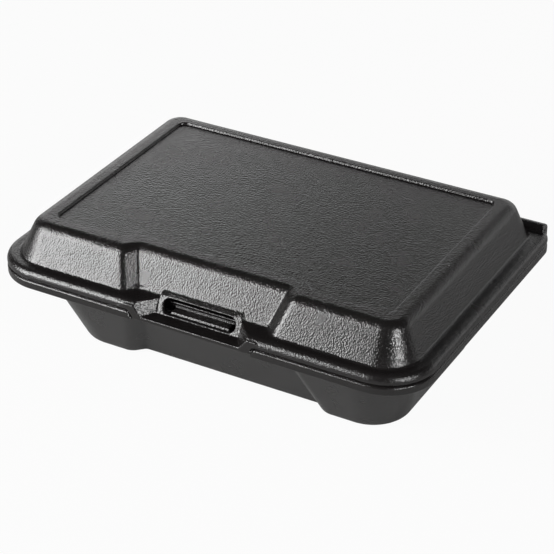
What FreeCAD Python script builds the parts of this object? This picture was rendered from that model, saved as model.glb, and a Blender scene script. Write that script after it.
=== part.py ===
"""Hinged foam takeaway container: a tray and its lid, formed from one sheet and parted at the fold.

The origin is under the middle of the closed container, on the surface that it stands on.
The lock is at the front (-Y), the fold at the rear (+Y), and Z points up. Lengths are millimetres.
"""
import FreeCAD, Part
import math
import os

import Sketcher

doc = FreeCAD.newDocument("Container")
sheet = doc.addObject("Spreadsheet::Sheet", "Sizes")

DRIVING = {
    # whole container
    "length": 233.0,
    "width": 165.0,
    "height": 73.0,
    "wall": 2.4,
    # where the two halves meet
    "fold_height": 50.85,
    "fold_gap": 0.3,
    "seat_height": 52.7,
    "seat_gap": 0.3,
    # the rim that runs round both halves
    "rim_corner": 25.0,
    "rim_rear_corner": 11.0,
    "rim_skin": 2.0,
    "lid_lip_low": 50.5,
    "tray_lip_low": 45.0,
    "tray_lip_edge": 3.8,
    "tray_rim_slope": 6.0,
    "rim_round": 3.6,
    # tray walls
    "tray_side_in": 25.5,
    "tray_end_in": 33.0,
    "tray_draft_side": 16.3,
    "tray_draft_end": 25.0,
    "tray_draft_rear": 23.5,
    "tray_corner": 20.0,
    "tray_top_corner": 30.0,
    "tray_top_rear_corner": 18.0,
    "tray_floor_round": 5.0,
    # lid walls
    "lid_foot_in": 6.4,
    "lid_front_in": 5.6,
    "lid_rear_in": 8.4,
    "lid_draft_side": 9.1,
    "lid_draft_front": 10.8,
    "lid_draft_rear": 2.6,
    "lid_corner": 10.0,
    "lid_foot_corner": 18.5,
    "lid_foot_rear_corner": 10.5,
    "lid_top_round": 6.6,
    "lid_foot_round": 2.0,
    # sunken panel on top of the lid
    "border": 9.2,
    "panel_sink": 2.2,
    "panel_corner": 4.0,
    "panel_draft": 0.8,
    # finger recess in the front of both halves; the width of its flat is a share of the length
    "recess_depth": 5.7,
    "recess_bend": 1.6,
    "lid_recess_round": 5.0,
    "tray_recess_round": 9.0,
    "panel_recess_share": 0.386,
    "lid_recess_low_share": 0.292,
    "lid_recess_top_share": 0.348,
    "tray_recess_low_share": 0.425,
    "tray_recess_top_share": 0.283,
    # lock at the front
    "ledge_low": 46.2,
    "ledge_skin": 2.2,
    "ledge_lip_half": 29.0,
    "ledge_wall_half": 22.5,
    "ledge_flare": 5.5,
    "hood_proud": 1.8,
    "hood_top": 56.6,
    "slot_half": 20.0,
    "slot_low": 48.9,
    "slot_high": 56.0,
    "tray_ledge_top": 44.4,
    "tray_ledge_in": 5.5,
    "tongue_half": 17.0,
    "tongue_top": 49.5,
    "tongue_clear": 0.6,
    "latch_clear": 2.0,
    # hinge bead along the rear
    "bead_half": 113.6,
    "bead_width": 8.5,
    "bead_straight": 2.6,
    "bead_end_round": 3.6,
}
for row, (name, number) in enumerate(DRIVING.items(), start=1):
    sheet.set("A%d" % row, name)
    sheet.set("B%d" % row, str(number))
    sheet.setAlias("B%d" % row, name)
doc.recompute()


class Size:
    """A length that carries its number and the sheet expression that it comes from."""

    def __init__(self, number, text):
        self.number = number
        self.text = text

    def _join(self, other, sign, number):
        text = other.text if isinstance(other, Size) else repr(other)
        return Size(number, "(%s %s %s)" % (self.text, sign, text))

    def __add__(self, other):
        return self._join(other, "+", self.number + value(other))

    def __sub__(self, other):
        return self._join(other, "-", self.number - value(other))

    def __mul__(self, other):
        return self._join(other, "*", self.number * value(other))

    def __truediv__(self, other):
        return self._join(other, "/", self.number / value(other))


def value(thing):
    """Plain number of a size or of a number."""
    return thing.number if isinstance(thing, Size) else thing


def size(name):
    """Driving size from the sheet."""
    return Size(float(sheet.get(name)), "Sizes." + name)


def bind(thing, prop, expression):
    thing.setExpression(prop, expression.text)


# Driving sizes by name, and the places that follow from them
length, width, height, wall = size("length"), size("width"), size("height"), size("wall")
half_length = length / 2
half_width = width / 2
seat = size("seat_height")
tray_parting = size("fold_height") - size("fold_gap") / 2
lid_parting = size("fold_height") + size("fold_gap") / 2
lid_plate_low = seat + size("seat_gap")
lid_plate_top = lid_plate_low + size("rim_skin")

# Angle of the recess's sides, in degrees
wide_bend = 45.0

# How far a cut runs past the surface that it opens, and how far joined solids reach into each other
overcut = 3.0
bite = 1.0
graze = 0.2


def new_body(label):
    body = doc.addObject("PartDesign::Body", label)
    body.Label = label
    return body


def new_sketch(body, name, role, level=None):
    """Sketch on one of the body's own origin planes, raised to a level along the plane's normal."""
    plane = [item for item in body.Origin.OriginFeatures if item.Role == role][0]
    sketch = body.newObject("Sketcher::SketchObject", name)
    sketch.AttachmentSupport = [(plane, "")]
    sketch.MapMode = "FlatFace"
    if level is not None:
        bind(sketch, ".AttachmentOffset.Base.z", level)
    return sketch


def constrain(sketch, rules):
    """Add constraints, each with the size that drives it or None."""
    first = sketch.ConstraintCount
    sketch.addConstraint([Sketcher.Constraint(*rule) for rule, _ in rules])
    for index, (_, driver) in enumerate(rules, start=first):
        if isinstance(driver, Size):
            bind(sketch, "Constraints[%d]" % index, driver)


def turn_at(before, here, after):
    """Signed turn at a corner, in radians, and the two unit directions."""
    into = (here - before).normalize()
    out = (after - here).normalize()
    return math.atan2(into.x * out.y - into.y * out.x, into.dot(out)), into, out


def outline(body, name, level, half, front, rear, front_corner, rear_corner, recess=None):
    """Rounded rectangle seen from above; recess is (half of its flat, depth, inner bend, outer bend)."""
    sketch = new_sketch(body, name, "XY_Plane", level)
    x, y_front, y_rear = value(half), -value(front), value(rear)
    corners = [(x, y_rear, rear_corner), (-x, y_rear, rear_corner), (-x, y_front, front_corner)]
    sides = ["rear", "left", "front"]
    if recess:
        flat, depth, inner_bend, outer_bend = recess
        corner_in = value(flat) + value(inner_bend) * math.tan(math.radians(wide_bend) / 2)
        corner_out = corner_in + value(depth) / math.tan(math.radians(wide_bend))
        y_back = y_front + value(depth)
        corners += [(-corner_out, y_front, outer_bend), (-corner_in, y_back, inner_bend)]
        corners += [(corner_in, y_back, inner_bend), (corner_out, y_front, outer_bend)]
        sides += ["falling", "centre", "rising", "front"]
    corners.append((x, y_front, front_corner))
    sides.append("right")

    points = [FreeCAD.Vector(px, py, 0) for px, py, _ in corners]
    count = len(points)
    turns = [turn_at(points[index - 1], point, points[(index + 1) % count])
             for index, point in enumerate(points)]
    entries, exits = [], []
    for index, (_, _, radius) in enumerate(corners):
        turn, into, out = turns[index]
        reach = value(radius) * abs(math.tan(turn / 2))
        entries.append(points[index] - into * reach)
        exits.append(points[index] + out * reach)
    lines = [Part.LineSegment(exits[index], entries[(index + 1) % count]) for index in range(count)]
    arcs = []
    for index, (_, _, radius) in enumerate(corners):
        turn, into, _ = turns[index]
        side = 1 if turn > 0 else -1
        centre = entries[index] + FreeCAD.Vector(-into.y, into.x, 0) * value(radius) * side
        first, last = (entries[index], exits[index]) if turn > 0 else (exits[index], entries[index])
        start_angle = math.atan2(first.y - centre.y, first.x - centre.x)
        end_angle = math.atan2(last.y - centre.y, last.x - centre.x)
        circle = Part.Circle(centre, FreeCAD.Vector(0, 0, 1), value(radius))
        arcs.append((Part.ArcOfCircle(circle, start_angle, end_angle), turn > 0))
    sketch.addGeometry(lines + [arc for arc, _ in arcs], False)

    rules = []
    for index in range(count):
        arc = count + index
        entry, leave = (1, 2) if arcs[index][1] else (2, 1)
        rules.append((("Tangent", (index - 1) % count, 2, arc, entry), None))
        rules.append((("Tangent", arc, leave, index, 1), None))
        rules.append((("Radius", arc, value(corners[index][2])), corners[index][2]))
    for index, side in enumerate(sides):
        if side == "rear":
            rules.append((("Horizontal", index), None))
            rules.append((("DistanceY", -1, 1, index, 1, value(rear)), rear))
        elif side == "left":
            rules.append((("Vertical", index), None))
            rules.append((("DistanceX", index, 1, -1, 1, value(half)), half))
        elif side == "right":
            rules.append((("Vertical", index), None))
            rules.append((("DistanceX", -1, 1, index, 1, value(half)), half))
        elif side == "front":
            rules.append((("Horizontal", index), None))
            rules.append((("DistanceY", index, 1, -1, 1, value(front)), front))
        elif side == "centre":
            set_back = front - depth
            rules.append((("Horizontal", index), None))
            rules.append((("DistanceY", index, 1, -1, 1, value(set_back)), set_back))
            rules.append((("DistanceX", index, 1, -1, 1, value(flat)), flat))
            rules.append((("DistanceX", -1, 1, index, 2, value(flat)), flat))
        else:
            angle = math.radians(wide_bend if side == "falling" else -wide_bend)
            rules.append((("Angle", index, angle), None))
    constrain(sketch, rules)
    return sketch


def four_sided(body, name, level, near, near_half, far, far_half):
    """Outline seen from above that is mirrored in X: near is its front line (-Y), far its rear line."""
    sketch = new_sketch(body, name, "XY_Plane", level)
    spots = [(-value(near_half), -value(near)), (value(near_half), -value(near))]
    spots += [(value(far_half), -value(far)), (-value(far_half), -value(far))]
    points = [FreeCAD.Vector(px, py, 0) for px, py in spots]
    sketch.addGeometry([Part.LineSegment(point, points[(index + 1) % 4])
                        for index, point in enumerate(points)], False)
    rules = [(("Coincident", index, 2, (index + 1) % 4, 1), None) for index in range(4)]
    rules += [(("Horizontal", 0), None), (("Horizontal", 2), None)]
    for line, reach, half in ((0, near, near_half), (2, far, far_half)):
        left, right = (1, 2) if line == 0 else (2, 1)
        if value(reach) >= 0:
            rules.append((("DistanceY", line, 1, -1, 1, value(reach)), reach))
        else:
            rules.append((("DistanceY", -1, 1, line, 1, -value(reach)), reach * -1.0))
        rules.append((("DistanceX", line, left, -1, 1, value(half)), half))
        rules.append((("DistanceX", -1, 1, line, right, value(half)), half))
    constrain(sketch, rules)
    return sketch


def loft(body, name, sketches, cut=False):
    """Straight-sided solid between outlines, added to the body or taken from it."""
    before = body.Tip.Shape.Volume if body.Tip else 0.0
    kind = "PartDesign::SubtractiveLoft" if cut else "PartDesign::AdditiveLoft"
    feature = body.newObject(kind, name)
    feature.Profile = (sketches[0], [""])
    feature.Sections = [(sketch, [""]) for sketch in sketches[1:]]
    feature.Ruled = True
    feature.Refine = False
    doc.recompute()
    check_change(feature, before, cut)
    return feature


def pad(body, name, sketch, depth, symmetric=False, cut=False, reverse=False):
    """Straight solid on an outline, added to the body or taken from it."""
    before = body.Tip.Shape.Volume if body.Tip else 0.0
    feature = body.newObject("PartDesign::Pocket" if cut else "PartDesign::Pad", name)
    feature.Profile = sketch
    if symmetric:
        feature.SideType = "Symmetric"
    feature.Reversed = reverse
    bind(feature, "Length", depth)
    doc.recompute()
    check_change(feature, before, cut)
    return feature


def check_change(feature, before, cut):
    """A feature that adds nothing or cuts nothing points the wrong way."""
    if feature.Shape.isNull():
        raise RuntimeError("%s has no shape: %s" % (feature.Name, feature.getStatusString()))
    change = feature.Shape.Volume - before
    if (change >= 0) if cut else (change <= 0):
        raise RuntimeError("%s changes the volume by %.1f" % (feature.Name, change))


def fillet(body, name, radius, wanted):
    """Round the edges of the body's last shape that the test wants."""
    base = body.Tip
    names = ["Edge%d" % (index + 1) for index, edge in enumerate(base.Shape.Edges) if wanted(edge)]
    feature = body.newObject("PartDesign::Fillet", name)
    feature.Base = (base, names)
    bind(feature, "Radius", radius)
    doc.recompute()
    return feature


def level_edge(edge, level):
    """Whether an edge lies flat at a level."""
    box = edge.BoundBox
    near = 0.02
    return abs(box.ZMin - value(level)) < near and abs(box.ZMax - value(level)) < near


def bead_section(body, name, parting, side, inset):
    """Upright band with a round end: side is 1 above the parting and -1 below it; inset thins it."""
    sketch = new_sketch(body, name, "YZ_Plane")
    rear = half_width - inset
    front = half_width - size("bead_width") + inset
    radius = size("bead_width") / 2 - inset
    straight = size("bead_straight")
    end = parting + straight * float(side)
    middle = (value(rear) + value(front)) / 2
    low = FreeCAD.Vector(value(front), value(parting), 0)
    low_rear = FreeCAD.Vector(value(rear), value(parting), 0)
    high = FreeCAD.Vector(value(front), value(end), 0)
    high_rear = FreeCAD.Vector(value(rear), value(end), 0)
    circle = Part.Circle(FreeCAD.Vector(middle, value(end), 0), FreeCAD.Vector(0, 0, 1), value(radius))
    if side > 0:
        arc = Part.ArcOfCircle(circle, 0, math.pi)
        at_rear, at_front = 1, 2
    else:
        arc = Part.ArcOfCircle(circle, math.pi, 2 * math.pi)
        at_rear, at_front = 2, 1
    sketch.addGeometry([Part.LineSegment(low, low_rear), Part.LineSegment(low_rear, high_rear),
                        Part.LineSegment(high, low), arc], False)
    constrain(sketch, [
        (("Coincident", 0, 2, 1, 1), None),
        (("Coincident", 2, 2, 0, 1), None),
        (("Tangent", 1, 2, 3, at_rear), None),
        (("Tangent", 3, at_front, 2, 1), None),
        (("Horizontal", 0), None),
        (("Vertical", 1), None),
        (("Vertical", 2), None),
        (("DistanceY", -1, 1, 0, 1, value(parting)), parting),
        (("DistanceX", -1, 1, 0, 2, value(rear)), rear),
        (("DistanceX", -1, 1, 0, 1, value(front)), front),
        (("DistanceY", -1, 1, 1, 2, value(end)), end),
    ])
    return sketch


def at(level, low, high, low_level, high_level):
    """Place on a slope at a level, from its places at two other levels."""
    return low + (high - low) * (level - low_level) / (high_level - low_level)


def wall_ring(body, name, level, low, high, low_level, high_level, inset):
    """Outline of a drafted wall at a level, drawn in by an inset.

    low and high are (half, front, rear, front corner, rear corner, recess flat, outer bend) at two levels.
    """
    places = [at(level, one, two, low_level, high_level) for one, two in zip(low, high)]
    half, front, rear, front_corner, rear_corner, flat, outer_bend = places
    recess = (flat, size("recess_depth"), size("recess_bend") + inset, outer_bend - inset)
    return outline(body, name, level, half - inset, front - inset, rear - inset,
                   front_corner - inset, rear_corner - inset, recess)


no_inset = Size(0.0, "0")
floor_level = Size(0.0, "0")

# Wall outlines: the tray from its floor to its seat, the lid from its foot to its top
tray_top_half = half_length - size("tray_side_in") + size("tray_draft_side")
tray_low = (half_length - size("tray_side_in"), half_width - size("tray_end_in"),
            half_width - size("tray_end_in"), size("tray_corner"), size("tray_corner"),
            half_length * size("tray_recess_low_share"), size("tray_recess_round"))
tray_high = (tray_top_half, tray_low[1] + size("tray_draft_end"), tray_low[2] + size("tray_draft_rear"),
             size("tray_top_corner"), size("tray_top_rear_corner"),
             half_length * size("tray_recess_top_share"), size("tray_recess_round"))
lid_low = (half_length - size("lid_foot_in"), half_width - size("lid_front_in"),
           half_width - size("lid_rear_in"), size("lid_foot_corner"), size("lid_foot_rear_corner"),
           half_length * size("lid_recess_low_share"), size("lid_recess_round"))
lid_high = (lid_low[0] - size("lid_draft_side"), lid_low[1] - size("lid_draft_front"),
            lid_low[2] - size("lid_draft_rear"), size("lid_corner"), size("lid_corner"),
            half_length * size("lid_recess_top_share"), size("lid_recess_round"))


def tray_ring(body, name, level, inset):
    return wall_ring(body, name, level, tray_low, tray_high, floor_level, seat, inset)


def lid_ring(body, name, level, inset):
    return wall_ring(body, name, level, lid_low, lid_high, lid_plate_low, height, inset)


def lid_centre(level):
    """How far the recessed middle of the lid's front wall stands from the origin at a level."""
    return at(level, lid_low[1], lid_high[1], lid_plate_low, height) - size("recess_depth")


def rim_ring(body, name, level, inset):
    """Outline of the rim, drawn in from the lip by an inset."""
    return outline(body, name, level, half_length - inset, half_width - inset, half_width - inset,
                   size("rim_corner") - inset, size("rim_rear_corner") - inset)


def make_lid():
    """Lid: rolled rim, drafted walls, sunken panel with a raised border, hinge bead and slotted lock."""
    lid = new_body("lid")

    # Rim: a plate with a rolled outer edge, hollow underneath
    edge = rim_ring(lid, "LidRimOutline", size("lid_lip_low"), no_inset)
    pad(lid, "LidRim", edge, lid_plate_top - size("lid_lip_low"))
    fillet(lid, "LidRimRoll", size("rim_round"), lambda item: level_edge(item, lid_plate_top))
    skin = size("rim_skin")
    loft(lid, "LidRimHollow", [rim_ring(lid, "LidHollowLow", size("lid_lip_low"), skin),
                               rim_ring(lid, "LidHollowTop", lid_plate_low, skin * 2.0)], cut=True)

    # Walls and top
    loft(lid, "LidWalls", [lid_ring(lid, "LidFoot", lid_plate_low, no_inset),
                           lid_ring(lid, "LidTop", height, no_inset)])
    fillet(lid, "LidTopRound", size("lid_top_round"), lambda item: level_edge(item, height))
    fillet(lid, "LidFootRound", size("lid_foot_round"), lid_foot_edge)
    make_panel(lid)
    make_bead(lid, "Lid", lid_parting, 1)
    round_lid_bead(lid)
    make_lid_lock(lid)

    # Hollow inside, with the underside of the panel kept a wall below the panel
    under_border = height - wall
    under_panel = under_border - size("panel_sink")
    loft(lid, "LidInside", [lid_ring(lid, "LidInsideLow", lid_plate_low - overcut, wall),
                            lid_ring(lid, "LidInsideTop", under_border, wall)], cut=True)
    inset = size("border") - wall / 2
    loft(lid, "LidPanelUnderside", [top_ring(lid, "LidPanelUnderLow", under_panel, inset),
                                    top_ring(lid, "LidPanelUnderTop", under_border + wall / 2, inset)])
    hollow_bead(lid, "Lid", lid_parting, 1)
    hollow_lid_lock(lid)
    return lid


def lid_foot_edge(edge):
    """Edge where the lid's wall meets the plate of its rim, and not the rolled edge of the rim."""
    box = edge.BoundBox
    rolled = value(size("rim_round")) + 1
    inside = box.XMax < value(half_length) - rolled and box.XMin > rolled - value(half_length)
    inside = inside and box.YMin > rolled - value(half_width) and box.YMax < value(half_width) - rolled
    return inside and level_edge(edge, lid_plate_top)


def top_ring(body, name, level, inset):
    """Outline of the lid's top edge drawn in by an inset, as the panel follows it."""
    half, front, rear = lid_high[:3]
    corner = size("panel_corner")
    return outline(body, name, level, half - inset, front - inset, rear - inset, corner, corner,
                   (half_length * size("panel_recess_share"), size("recess_depth"), corner, corner))


def make_panel(lid):
    """Sunken flat panel with a raised border round it."""
    panel = height - size("panel_sink")
    border = size("border")
    loft(lid, "Panel", [top_ring(lid, "PanelFloor", panel, border),
                        top_ring(lid, "PanelBrim", height + overcut, border - size("panel_draft"))], cut=True)


def make_bead(body, label, parting, side):
    """Rounded band along the rear that the fold runs through, where the flat rim is left out."""
    front = half_width - size("bead_width")
    relief = four_sided(body, label + "ReliefOutline", parting, front * -1.0, half_length + overcut,
                        (half_width + overcut) * -1.0, half_length + overcut)
    pad(body, label + "Relief", relief, size("rim_corner"), cut=True, reverse=side < 0)
    bead_solid(body, label + "Bead", parting, side, no_inset, cut=False)

    above = new_sketch(body, label + "BeadEnds", "XY_Plane")
    end_corners(above, half_width)
    pad(body, label + "BeadRound", above, height * 2.0, symmetric=True, cut=True)


def round_lid_bead(lid):
    """Round the ends of the lid's bead as seen from behind too, where they show above the rim."""
    front = half_width - size("bead_width")
    crest = lid_parting + size("bead_straight") + size("bead_width") / 2
    behind = new_sketch(lid, "LidBeadEndsBehind", "XZ_Plane", front * -1.0)
    end_corners(behind, crest + graze)
    pad(lid, "LidBeadRoundBehind", behind, size("bead_width") + overcut, cut=True)


def bead_solid(body, name, parting, side, inset, cut):
    """Bead along the rear, added to the body or, drawn in by an inset, taken from it."""
    section = bead_section(body, name + "Section", parting, side, inset)
    return pad(body, name, section, (size("bead_half") - inset * 2.0) * 2.0, symmetric=True, cut=cut)


def hollow_bead(body, label, parting, side):
    """Hollow the bead from its open side, with its ends left closed."""
    bead_solid(body, label + "BeadHollow", parting, side, size("rim_skin"), cut=True)


def end_corners(sketch, edge):
    """What lies outside the rounded corners at both ends of the bead, whose outer edge is given."""
    end, radius = size("bead_half"), size("bead_end_round")
    inner_x, inner_y = end - radius, edge - radius
    beyond_x, beyond_y = end + bite, edge + bite
    rules = []
    for hand in (1, -1):
        first = sketch.GeometryCount
        top = FreeCAD.Vector(hand * value(inner_x), value(edge), 0)
        out_top = FreeCAD.Vector(hand * value(inner_x), value(beyond_y), 0)
        corner = FreeCAD.Vector(hand * value(beyond_x), value(beyond_y), 0)
        out_low = FreeCAD.Vector(hand * value(beyond_x), value(inner_y), 0)
        low = FreeCAD.Vector(hand * value(end), value(inner_y), 0)
        circle = Part.Circle(FreeCAD.Vector(hand * value(inner_x), value(inner_y), 0),
                             FreeCAD.Vector(0, 0, 1), value(radius))
        start = 0 if hand > 0 else math.pi / 2
        arc = Part.ArcOfCircle(circle, start, start + math.pi / 2)
        sketch.addGeometry([Part.LineSegment(top, out_top), Part.LineSegment(out_top, corner),
                            Part.LineSegment(corner, out_low), Part.LineSegment(out_low, low), arc], False)
        at_top, at_low = (2, 1) if hand > 0 else (1, 2)
        rules += [(("Coincident", first + index, 2, first + index + 1, 1), None) for index in range(3)]
        rules += [
            (("Coincident", first + 3, 2, first + 4, at_low), None),
            (("Coincident", first + 4, at_top, first, 1), None),
            (("Vertical", first), None),
            (("Horizontal", first + 1), None),
            (("Vertical", first + 2), None),
            (("Horizontal", first + 3), None),
            (("Radius", first + 4, value(radius)), radius),
            (("DistanceY", -1, 1, first, 1, value(edge)), edge),
            (("DistanceY", -1, 1, first, 2, value(beyond_y)), beyond_y),
            (("DistanceY", -1, 1, first + 3, 2, value(inner_y)), inner_y),
        ]
        for line, point, place in ((first, 1, inner_x), (first + 2, 1, beyond_x), (first + 3, 2, end)):
            ends = (-1, 1, line, point) if hand > 0 else (line, point, -1, 1)
            rules.append((("DistanceX",) + ends + (value(place),), place))
    constrain(sketch, rules)


def lock_front(level):
    """Front face of the hood round the slot at a level."""
    return lid_centre(level) + size("hood_proud")


def lock_back(level):
    """Back face of the skin that carries the slot at a level."""
    return lock_front(level) - size("ledge_skin")


def make_lid_lock(lid):
    """Lock: a ledge pressed down at the lip, and a hood that stands proud of the wall for the slot."""
    low = size("ledge_low")
    top = low + size("ledge_skin")
    hood = size("hood_top")
    lip = half_width
    skin = size("ledge_skin")
    flare = size("ledge_flare")
    lip_half = size("ledge_lip_half")
    wall_half = size("ledge_wall_half")
    high = lid_plate_low + bite / 2
    press_flare = flare * 1.5
    loft(lid, "LedgeBlock", [
        four_sided(lid, "LedgeLow", low, lip, lip_half + skin, lock_back(low), wall_half + skin),
        four_sided(lid, "LedgeHigh", high, lip, lip_half + flare + skin, lock_back(high), wall_half + skin)])
    loft(lid, "LedgePress", [
        four_sided(lid, "PressLow", top, lip + overcut, lip_half, lock_front(top), wall_half),
        four_sided(lid, "PressHigh", hood, lip + overcut, lip_half + press_flare, lock_front(hood),
                   wall_half + bite / 2)], cut=True)
    under = lid_plate_low - bite / 2
    foot_half = wall_half + graze
    bevel = hood + size("hood_proud")
    loft(lid, "Hood", [
        four_sided(lid, "HoodLow", under, lock_front(under), foot_half, lock_back(under), foot_half),
        four_sided(lid, "HoodHigh", hood, lock_front(hood), wall_half, lid_centre(hood) - bite, wall_half),
        four_sided(lid, "HoodBevel", bevel, lid_centre(bevel) - graze / 2, wall_half - bite,
                   lid_centre(bevel) - bite, wall_half - bite)])


def hollow_lid_lock(lid):
    """Inside of the hood, and the slot through its face."""
    low = size("ledge_low") - bite
    high = size("hood_top") - size("ledge_skin") / 2
    half = size("ledge_wall_half") - size("ledge_skin") / 2
    behind = wall + bite * 2
    loft(lid, "HoodInside", [
        four_sided(lid, "HoodInsideLow", low, lock_back(low), half, lid_centre(low) - behind, half),
        four_sided(lid, "HoodInsideHigh", high, lock_back(high), half, lid_centre(high) - behind, half)],
         cut=True)
    pad(lid, "Slot", slot_outline(lid), half_width, cut=True, reverse=True)


def slot_outline(lid):
    """Slot seen from the front, with rounded ends."""
    sketch = new_sketch(lid, "SlotOutline", "XZ_Plane")
    half, low, high = size("slot_half"), size("slot_low"), size("slot_high")
    radius = (high - low) / 2
    flat = half - radius
    middle = value(low + radius)
    up = FreeCAD.Vector(0, 0, 1)
    right = Part.Circle(FreeCAD.Vector(value(flat), middle, 0), up, value(radius))
    left = Part.Circle(FreeCAD.Vector(-value(flat), middle, 0), up, value(radius))
    low_left = FreeCAD.Vector(-value(flat), value(low), 0)
    low_right = FreeCAD.Vector(value(flat), value(low), 0)
    high_left = FreeCAD.Vector(-value(flat), value(high), 0)
    high_right = FreeCAD.Vector(value(flat), value(high), 0)
    sketch.addGeometry([Part.LineSegment(low_left, low_right), Part.LineSegment(high_right, high_left),
                        Part.ArcOfCircle(right, -math.pi / 2, math.pi / 2),
                        Part.ArcOfCircle(left, math.pi / 2, 3 * math.pi / 2)], False)
    constrain(sketch, [
        (("Tangent", 0, 2, 2, 1), None),
        (("Tangent", 2, 2, 1, 1), None),
        (("Tangent", 1, 2, 3, 1), None),
        (("Tangent", 3, 2, 0, 1), None),
        (("Horizontal", 0), None),
        (("DistanceY", -1, 1, 0, 1, value(low)), low),
        (("DistanceY", -1, 1, 1, 1, value(high)), high),
        (("DistanceX", 0, 1, -1, 1, value(flat)), flat),
        (("DistanceX", -1, 1, 0, 2, value(flat)), flat),
    ])
    return sketch


def make_tray():
    """Tray: rim plate with a sloped lip, drafted walls, hinge bead, ledge and lock tongue."""
    tray = new_body("tray")

    # Rim: lip edge, then a slope up to the seat of the lid, hollow underneath
    lip_low = size("tray_lip_low")
    lip_top = lip_low + size("tray_lip_edge")
    skin = size("rim_skin")
    slope = size("tray_rim_slope")
    loft(tray, "TrayRim", [rim_ring(tray, "TrayLipLow", lip_low, no_inset),
                           rim_ring(tray, "TrayLipTop", lip_top, no_inset),
                           rim_ring(tray, "TraySeat", seat, slope)])
    loft(tray, "TrayRimHollow", [rim_ring(tray, "TrayHollowLow", lip_low, skin / 2),
                                 rim_ring(tray, "TrayHollowTop", seat - skin, slope + skin / 2)], cut=True)

    # Walls and floor
    under_seat = seat - skin / 2
    loft(tray, "TrayWalls", [tray_ring(tray, "TrayFloor", floor_level, no_inset),
                             tray_ring(tray, "TrayWallTop", under_seat, no_inset)])
    fillet(tray, "TrayFloorRound", size("tray_floor_round"), lambda item: level_edge(item, 0.0))

    # Hollow inside
    loft(tray, "TrayInside", [tray_ring(tray, "TrayInsideFloor", wall, wall),
                              tray_ring(tray, "TrayInsideTop", seat + overcut, wall)], cut=True)
    fillet(tray, "TrayInsideRound", size("tray_floor_round") - wall, lambda item: level_edge(item, wall))

    make_bead(tray, "Tray", tray_parting, -1)
    join_tray_bead(tray)
    make_tray_lock(tray)
    hollow_bead(tray, "Tray", tray_parting, -1)
    return tray


def join_tray_bead(tray):
    """Foam between the tray's wall and the front of its bead, right under the plate of the rim."""
    skin = size("rim_skin")
    front = half_width - size("bead_width")
    near = (front - skin * 1.5) * -1.0
    far = (front + skin / 2) * -1.0
    half = size("bead_half") - skin
    low = tray_parting - skin
    loft(tray, "TrayBeadRoot", [four_sided(tray, "TrayBeadRootLow", low, near, half, far, half),
                                four_sided(tray, "TrayBeadRootTop", tray_parting, near, half, far, half)])


def tray_centre(level):
    """How far the recessed middle of the tray's front wall stands from the origin at a level."""
    return at(level, tray_low[1], tray_high[1], floor_level, seat) - size("recess_depth")


def make_tray_lock(tray):
    """Ledge that nests under the lid's ledge, and the hollow tongue that stands behind the slot."""
    top = size("tray_ledge_top")
    skin = size("ledge_skin")
    low = top - skin
    high = seat - skin
    near = half_width - size("tray_ledge_in")
    lip_half = size("ledge_lip_half") + skin + size("latch_clear")
    wall_half = size("ledge_wall_half") + skin + size("latch_clear")
    flare = size("ledge_flare")
    loft(tray, "TrayLedge", [
        four_sided(tray, "TrayLedgeLow", low, near, lip_half, tray_centre(low) - bite, wall_half + skin),
        four_sided(tray, "TrayLedgeHigh", high, near, lip_half + flare, tray_centre(high) - bite,
                   wall_half + skin)])
    above = seat + bite
    press_flare = flare * 1.3
    loft(tray, "TrayLedgePress", [
        four_sided(tray, "TrayPressLow", top, half_width + overcut, lip_half,
                   tray_centre(top) + graze, wall_half),
        four_sided(tray, "TrayPressHigh", above, half_width + overcut, lip_half + press_flare,
                   tray_centre(above) + graze, wall_half)], cut=True)

    tip = size("tongue_top")
    half = size("tongue_half")
    base = top - graze * 2
    clear = size("tongue_clear")
    loft(tray, "Tongue", [
        four_sided(tray, "TongueLow", base, lock_back(base) - clear, half, tray_centre(base) - bite, half),
        four_sided(tray, "TongueTip", tip, lock_back(tip) - clear, half - bite, tray_centre(tip) - bite,
                   half - bite)])
    under = low - bite
    inner_tip = tip - skin
    inner_half = half - skin
    loft(tray, "TongueHollow", [
        four_sided(tray, "TongueHollowLow", under, lock_back(under) - clear - skin, inner_half,
                   tray_centre(under) + graze, inner_half),
        four_sided(tray, "TongueHollowTip", inner_tip, lock_back(inner_tip) - clear - skin, inner_half - bite,
                   tray_centre(inner_tip) + graze, inner_half - bite)], cut=True)


lid = make_lid()
tray = make_tray()
doc.recompute()
for thing in doc.Objects:
    if "Invalid" in thing.State or "Error" in thing.State:
        raise RuntimeError("%s failed: %s" % (thing.Name, thing.getStatusString()))

os.makedirs("parts", exist_ok=True)
for body in (lid, tray):
    if body.Shape.isNull() or not body.Shape.isValid():
        raise RuntimeError("%s has no valid shape" % body.Label)
    body.Shape.exportStep("parts/%s.step" % body.Label)
    box = body.Shape.BoundBox
    print(body.Label, "solids", len(body.Shape.Solids), "volume", round(body.Shape.Volume), box)
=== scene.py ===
"""Hinged takeaway container in black foam: its looks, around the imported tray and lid.

Metres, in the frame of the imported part: the lock is at the front (-Y), the fold at the rear (+Y), and Z
points up.
"""

import math

import bmesh
import bpy
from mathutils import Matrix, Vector
from mathutils.bvhtree import BVHTree


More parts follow.
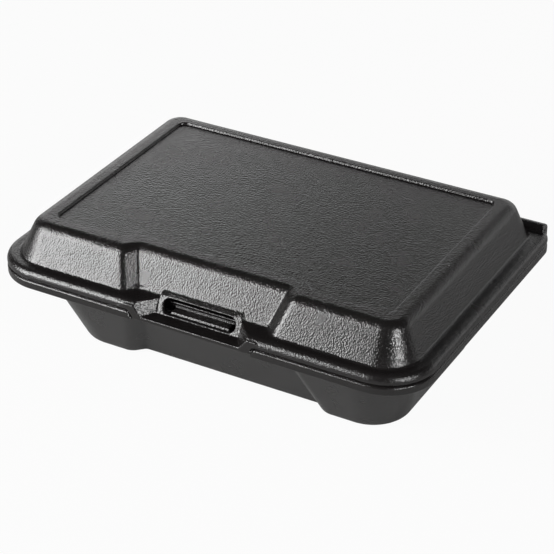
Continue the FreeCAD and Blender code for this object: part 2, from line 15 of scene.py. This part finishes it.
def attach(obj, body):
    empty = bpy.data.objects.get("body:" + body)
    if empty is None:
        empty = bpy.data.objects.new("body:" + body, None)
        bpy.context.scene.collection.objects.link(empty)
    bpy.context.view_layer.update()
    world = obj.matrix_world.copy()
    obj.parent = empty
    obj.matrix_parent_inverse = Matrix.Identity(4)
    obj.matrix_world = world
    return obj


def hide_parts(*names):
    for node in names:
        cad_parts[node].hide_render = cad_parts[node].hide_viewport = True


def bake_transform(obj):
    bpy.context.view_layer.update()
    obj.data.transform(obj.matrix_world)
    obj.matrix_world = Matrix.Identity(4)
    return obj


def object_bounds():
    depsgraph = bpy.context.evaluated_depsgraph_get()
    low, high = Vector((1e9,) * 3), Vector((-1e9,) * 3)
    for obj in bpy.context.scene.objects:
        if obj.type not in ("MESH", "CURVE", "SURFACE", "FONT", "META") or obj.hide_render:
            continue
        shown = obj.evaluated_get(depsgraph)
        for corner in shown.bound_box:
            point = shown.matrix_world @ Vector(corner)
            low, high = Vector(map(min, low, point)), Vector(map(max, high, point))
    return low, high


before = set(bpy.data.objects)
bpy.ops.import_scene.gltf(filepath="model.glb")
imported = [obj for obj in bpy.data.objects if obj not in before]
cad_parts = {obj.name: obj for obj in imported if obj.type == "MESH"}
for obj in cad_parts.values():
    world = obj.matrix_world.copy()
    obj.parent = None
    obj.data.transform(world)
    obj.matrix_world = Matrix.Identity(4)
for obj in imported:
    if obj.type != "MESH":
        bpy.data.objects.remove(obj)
cad_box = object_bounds()

MM = 0.001
low_corner, high_corner = Vector(cad_box[0]), Vector(cad_box[1])
REAR = high_corner.y

# Where the foam folds, and half the length of the web along the fold
FOLD_HEIGHT = 50.85 * MM
BEAD_HALF = 109.0 * MM

# Point that the lamps look at, about half way up the container
TARGET = Vector((0.0, 0.0, 0.04))


def linear(hex_colour):
    """Linear RGBA of a colour written as sRGB hex."""
    parts = [int(hex_colour[index:index + 2], 16) / 255 for index in (1, 3, 5)]
    colour = [part / 12.92 if part <= 0.04045 else ((part + 0.055) / 1.055) ** 2.4 for part in parts]
    return tuple(colour) + (1.0,)


def add_node(tree, kind, sockets=None, **settings):
    """Add a node, set its options, and set or link its sockets by name or number."""
    node = tree.nodes.new(kind)
    for name, setting in settings.items():
        setattr(node, name, setting)
    for key, thing in (sockets or {}).items():
        if isinstance(thing, bpy.types.NodeSocket):
            tree.links.new(thing, node.inputs[key])
        else:
            node.inputs[key].default_value = thing
    return node


def new_material(name):
    """Empty material with its output node."""
    material = bpy.data.materials.new(name)
    material.use_nodes = True
    material.node_tree.nodes.clear()
    return material, material.node_tree, material.node_tree.nodes.new("ShaderNodeOutputMaterial")


def select_only(piece):
    """Make one object the only selected and the active one."""
    bpy.ops.object.select_all(action="DESELECT")
    piece.select_set(True)
    bpy.context.view_layer.objects.active = piece


def apply_all(piece):
    """Apply the object's place, turn and scale, then its modifiers in order."""
    select_only(piece)
    bpy.ops.object.transform_apply(location=True, rotation=True, scale=True)
    for modifier in list(piece.modifiers):
        bpy.ops.object.modifier_apply(modifier=modifier.name)


# Foam skin: width of the grain, of the pits and of the dull and glossy patches, and how deep the first two go
GRAIN = 0.75 * MM
GRAIN_DEPTH = 0.27 * MM
GRAIN_STRENGTH = 0.75
PIT = 0.8 * MM
PIT_DEPTH = 0.1 * MM
PIT_STRENGTH = 0.35
BLOTCH = 14.0 * MM
BLOTCH_LOW, BLOTCH_HIGH = 0.3, 0.7
FOAM_DARK, FOAM_LIGHT = "#0b0a0a", "#191616"
GLOSSIEST, DULLEST = 0.22, 0.28
POLYSTYRENE_IOR = 1.59


def black_foam_skin():
    """Extruded polystyrene foam sheet, thermoformed: black, with a semi-gloss heat-sealed skin.

    The closed cells under the skin give fine pits and grain that break up every highlight into speckle,
    and the sheet cools unevenly, so that broad patches are a little duller or a little glossier.
    """
    material, tree, output = new_material("black_thermoformed_polystyrene_foam")
    place = add_node(tree, "ShaderNodeTexCoord").outputs["Object"]

    grain = add_node(tree, "ShaderNodeTexNoise", {"Vector": place, "Scale": 1 / GRAIN, "Detail": 1.0,
                                                  "Roughness": 0.5})
    pits = add_node(tree, "ShaderNodeTexVoronoi", {"Vector": place, "Scale": 1 / PIT, "Randomness": 1.0})
    blotches = add_node(tree, "ShaderNodeTexNoise", {"Vector": place, "Scale": 1 / BLOTCH, "Detail": 2.0})

    pitted = add_node(tree, "ShaderNodeBump", {"Height": pits.outputs["Distance"], "Strength": PIT_STRENGTH,
                                               "Distance": PIT_DEPTH})
    grained = add_node(tree, "ShaderNodeBump", {"Height": grain.outputs["Fac"], "Strength": GRAIN_STRENGTH,
                                                "Distance": GRAIN_DEPTH, "Normal": pitted.outputs["Normal"]})
    colour = add_node(tree, "ShaderNodeMix", {0: grain.outputs["Fac"], 6: linear(FOAM_DARK),
                                              7: linear(FOAM_LIGHT)}, data_type="RGBA")
    dullness = add_node(tree, "ShaderNodeMapRange", {
        "Value": blotches.outputs["Fac"],
        "From Min": BLOTCH_LOW,
        "From Max": BLOTCH_HIGH,
        "To Min": GLOSSIEST,
        "To Max": DULLEST,
    })
    skin = add_node(tree, "ShaderNodeBsdfPrincipled", {
        "Base Color": colour.outputs[2],
        "Roughness": dullness.outputs["Result"],
        "IOR": POLYSTYRENE_IOR,
        "Normal": grained.outputs["Normal"],
    })
    tree.links.new(skin.outputs["BSDF"], output.inputs["Surface"])
    return material


def white_paper(name, shade, glow, gloss_glow):
    """Matte studio paper that the camera sees white, with the object's shadow kept.

    glow is how much of it is white to the camera, and gloss_glow how much is white in a reflection.
    """
    material, tree, output = new_material(name)
    matte = add_node(tree, "ShaderNodeBsdfPrincipled", {"Base Color": linear(shade), "Roughness": 0.95})
    white = add_node(tree, "ShaderNodeEmission", {"Color": linear("#ffffff"), "Strength": 1.0})
    path = add_node(tree, "ShaderNodeLightPath")
    mirrored = add_node(tree, "ShaderNodeMath", {0: path.outputs["Is Glossy Ray"],
                                                 1: path.outputs["Is Transmission Ray"]}, operation="MAXIMUM")
    in_gloss = add_node(tree, "ShaderNodeMath", {0: mirrored.outputs[0], 1: gloss_glow}, operation="MULTIPLY")
    share = add_node(tree, "ShaderNodeMath", {0: path.outputs["Is Camera Ray"], 1: glow,
                                              2: in_gloss.outputs[0]}, operation="MULTIPLY_ADD")
    mix = add_node(tree, "ShaderNodeMixShader", {0: share.outputs[0], 1: matte.outputs[0],
                                                 2: white.outputs[0]})
    tree.links.new(mix.outputs[0], output.inputs["Surface"])
    return material


# Rounding of the foam's hard edges, and the turn between two faces from which an edge counts as hard
EDGE_ROUND = 0.5 * MM
ROUND_STEPS = 3
HARD_EDGE = math.radians(38)
SMOOTH_BELOW = math.radians(40)

# Making the shells: points nearer than WELD are one, faces within FLAT lie in one plane, and long faces
# are divided every STRIP without edges shorter than SHORTEST
WELD = 0.002 * MM
FLAT = math.radians(0.03)
STRIP = 9.0 * MM
ON_PLANE = 0.01 * MM
SHORTEST = 0.05 * MM

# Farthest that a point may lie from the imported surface, and how often its neighbours are tried
STRAY = 0.24 * MM
SETTLE_ROUNDS = 12
FULL_WEIGHT = 100


def cut_in_strips(piece):
    """Divide long faces into short strips, so that smooth shading stays true along them."""
    mesh = bmesh.new()
    mesh.from_mesh(piece.data)
    for axis in (0, 1):
        way = Vector((axis == 0, axis == 1, 0))
        reach = high_corner[axis] - STRIP / 2
        count = int(2 * reach / STRIP)
        for index in range(count + 1):
            place = way * (index * STRIP - reach)
            everything = mesh.verts[:] + mesh.edges[:] + mesh.faces[:]
            bmesh.ops.bisect_plane(mesh, geom=everything, plane_co=place, plane_no=way, dist=ON_PLANE)
    bmesh.ops.remove_doubles(mesh, verts=mesh.verts[:], dist=SHORTEST)
    mesh.to_mesh(piece.data)
    mesh.free()


def settle_strays(shell, node):
    """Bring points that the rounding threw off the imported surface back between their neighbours.

    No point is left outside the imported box, and edges without a face are deleted.
    """
    packed = bmesh.new()
    packed.from_mesh(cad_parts[node].data)
    surface = BVHTree.FromBMesh(packed)
    packed.free()
    mesh = bmesh.new()
    mesh.from_mesh(shell.data)
    for _ in range(SETTLE_ROUNDS):
        strays = {point for point in mesh.verts if surface.find_nearest(point.co)[3] > STRAY}
        for point in sorted(strays, key=lambda item: item.index):
            others = [edge.other_vert(point) for edge in point.link_edges]
            steady = [other.co for other in others if other not in strays]
            if steady:
                point.co = sum(steady, Vector()) / len(steady)
                strays.discard(point)
    for point in mesh.verts:
        nearest, _, _, distance = surface.find_nearest(point.co)
        if distance > STRAY:
            point.co = nearest
        point.co = [min(max(place, low), high)
                    for place, low, high in zip(point.co, low_corner, high_corner)]
    loose = [edge for edge in mesh.edges if not edge.link_faces]
    bmesh.ops.delete(mesh, geom=loose, context="EDGES")
    mesh.to_mesh(shell.data)
    mesh.free()


def foam_shell(node, name, foam):
    """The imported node's own shape with its hard edges softened, as foam leaves the mould."""
    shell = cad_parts[node].copy()
    shell.data = shell.data.copy()
    shell.name = name
    shell.parent = None
    bpy.context.scene.collection.objects.link(shell)
    select_only(shell)
    bpy.ops.object.mode_set(mode="EDIT")
    bpy.ops.mesh.select_all(action="SELECT")
    bpy.ops.mesh.customdata_custom_splitnormals_clear()
    bpy.ops.mesh.remove_doubles(threshold=WELD)
    bpy.ops.mesh.dissolve_limited(angle_limit=FLAT)
    bpy.ops.mesh.normals_make_consistent(inside=False)
    bpy.ops.object.mode_set(mode="OBJECT")
    cut_in_strips(shell)
    soften = shell.modifiers.new("soften_edges", "BEVEL")
    soften.width = EDGE_ROUND
    soften.segments = ROUND_STEPS
    soften.limit_method = "ANGLE"
    soften.angle_limit = HARD_EDGE
    soften.use_clamp_overlap = False
    soften.miter_outer = "MITER_SHARP"
    apply_all(shell)
    settle_strays(shell, node)
    bpy.ops.object.shade_smooth_by_angle(angle=SMOOTH_BELOW)
    flatten = shell.modifiers.new("keep_flats_flat", "WEIGHTED_NORMAL")
    flatten.weight = FULL_WEIGHT
    flatten.keep_sharp = True
    apply_all(shell)
    shell.data.materials.clear()
    shell.data.materials.append(foam)
    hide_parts(node)
    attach(shell, node)


# Web at the fold: its height, its thickness, how far in from the rear it lies, and its squares
WEB_HEIGHT = 1.6 * MM
WEB_THICK = 0.7 * MM
WEB_IN = 0.45 * MM
WEB_ACROSS, WEB_UP = 4, 12


def fold_web(foam):
    """Thin pressed line of foam that joins tray and lid along the rear."""
    middle = Vector((0.0, REAR - WEB_IN, FOLD_HEIGHT))
    bpy.ops.object.select_all(action="DESELECT")
    bpy.ops.mesh.primitive_grid_add(x_subdivisions=WEB_ACROSS, y_subdivisions=WEB_UP, size=1,
                                    location=middle, rotation=(math.pi / 2, 0, 0))
    web = bpy.context.object
    web.name = "fold_web"
    web.scale = (2 * BEAD_HALF, WEB_HEIGHT, 1)
    select_only(web)
    bpy.ops.object.transform_apply(location=True, rotation=True, scale=True)
    thicken = web.modifiers.new("thicken", "SOLIDIFY")
    thicken.thickness = WEB_THICK
    thicken.offset = 0
    apply_all(web)
    web.data.materials.append(foam)
    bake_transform(web)


def studio_plane(name, wide, deep, place, turn, paper):
    """Flat sheet of studio paper."""
    bpy.ops.object.select_all(action="DESELECT")
    bpy.ops.mesh.primitive_plane_add(size=1, location=place, rotation=turn)
    sheet = bpy.context.object
    sheet.name = name
    sheet.scale = (wide, deep, 1)
    apply_all(sheet)
    sheet.data.materials.append(paper)


def softbox(name, direction, distance, wide, tall, radiance):
    """Lamp behind a diffuser, aimed at the container. radiance is how bright its face looks."""
    lamp = bpy.data.lights.new(name, "AREA")
    lamp.shape = "RECTANGLE"
    lamp.size, lamp.size_y = wide, tall
    lamp.energy = radiance * math.pi * wide * tall
    box = bpy.data.objects.new(name, lamp)
    bpy.context.scene.collection.objects.link(box)
    aim = Vector(direction).normalized()
    box.location = TARGET + aim * distance
    box.rotation_euler = aim.to_track_quat("Z", "Y").to_euler()
    box.visible_camera = False


def set_world(grey, strength):
    """Dim grey room for the object, white for the camera."""
    world = bpy.data.worlds.new("studio_room")
    bpy.context.scene.world = world
    world.use_nodes = True
    tree = world.node_tree
    tree.nodes.clear()
    output = tree.nodes.new("ShaderNodeOutputWorld")
    room = add_node(tree, "ShaderNodeBackground", {"Color": linear(grey), "Strength": strength})
    white = add_node(tree, "ShaderNodeBackground", {"Color": linear("#ffffff"), "Strength": 1.0})
    path = add_node(tree, "ShaderNodeLightPath")
    seen = add_node(tree, "ShaderNodeMath", {0: path.outputs["Is Camera Ray"],
                                             1: path.outputs["Is Transmission Ray"]}, operation="MAXIMUM")
    mix = add_node(tree, "ShaderNodeMixShader", {0: seen.outputs[0], 1: room.outputs[0], 2: white.outputs[0]})
    tree.links.new(mix.outputs[0], output.inputs["Surface"])


# The photograph's camera, fitted to the outlines of rim, panel and tray (lens and sensor in millimetres)
CAMERA_PLACE = (0.4033, -0.7201, 0.5345)
CAMERA_AZIMUTH = math.radians(29.166)
CAMERA_ELEVATION = math.radians(31.174)
CAMERA_LENS = 124.18
CAMERA_SENSOR = 36.0
CAMERA_NEAR = 0.01


def set_camera():
    """Camera at the photograph's place and angle."""
    level = math.cos(CAMERA_ELEVATION)
    back = Vector((math.sin(CAMERA_AZIMUTH) * level, -math.cos(CAMERA_AZIMUTH) * level,
                   math.sin(CAMERA_ELEVATION)))
    lens = bpy.data.cameras.new("photo_camera")
    lens.sensor_width = CAMERA_SENSOR
    lens.lens = CAMERA_LENS
    lens.clip_start = CAMERA_NEAR
    camera = bpy.data.objects.new("photo_camera", lens)
    bpy.context.scene.collection.objects.link(camera)
    camera.location = CAMERA_PLACE
    camera.rotation_euler = back.to_track_quat("Z", "Y").to_euler()
    bpy.context.scene.camera = camera


foam = black_foam_skin()
foam_shell("tray", "tray_foam", foam)
foam_shell("lid", "lid_foam", foam)
fold_web(foam)

# Paper floor just under the container, and a low upright sheet behind, which the lid's top mirrors
PAPER_WIDE = 8.0
FLOOR_DROP = 0.05 * MM
BACKDROP_TALL = 1.15
BACKDROP_BEHIND = 1.9
studio_plane("studio_floor", PAPER_WIDE, PAPER_WIDE, (0, 0, -FLOOR_DROP), (0, 0, 0),
             white_paper("floor_paper", "#a8a8a7", glow=0.95, gloss_glow=0.12))
studio_plane("studio_backdrop", PAPER_WIDE, BACKDROP_TALL, (0, BACKDROP_BEHIND, BACKDROP_TALL / 2),
             (math.pi / 2, 0, 0), white_paper("backdrop_paper", "#e8e8e7", glow=0.95, gloss_glow=0.95))

# The front lobes mirror the main lamp, the rounded right corner a narrow one, and the rear edges a faint one
softbox("main_softbox", (-0.695, -0.719, 0.40), distance=1.6, wide=0.85, tall=1.0, radiance=14.5)
softbox("corner_softbox", (0.82, -0.42, 0.38), distance=1.5, wide=0.18, tall=0.7, radiance=34.0)
softbox("rear_softbox", (-0.62, 0.62, 0.33), distance=1.6, wide=0.8, tall=0.6, radiance=1.2)
set_world("#9a9a9a", 0.17)
set_camera()
bpy.context.scene.view_settings.view_transform = "Standard"
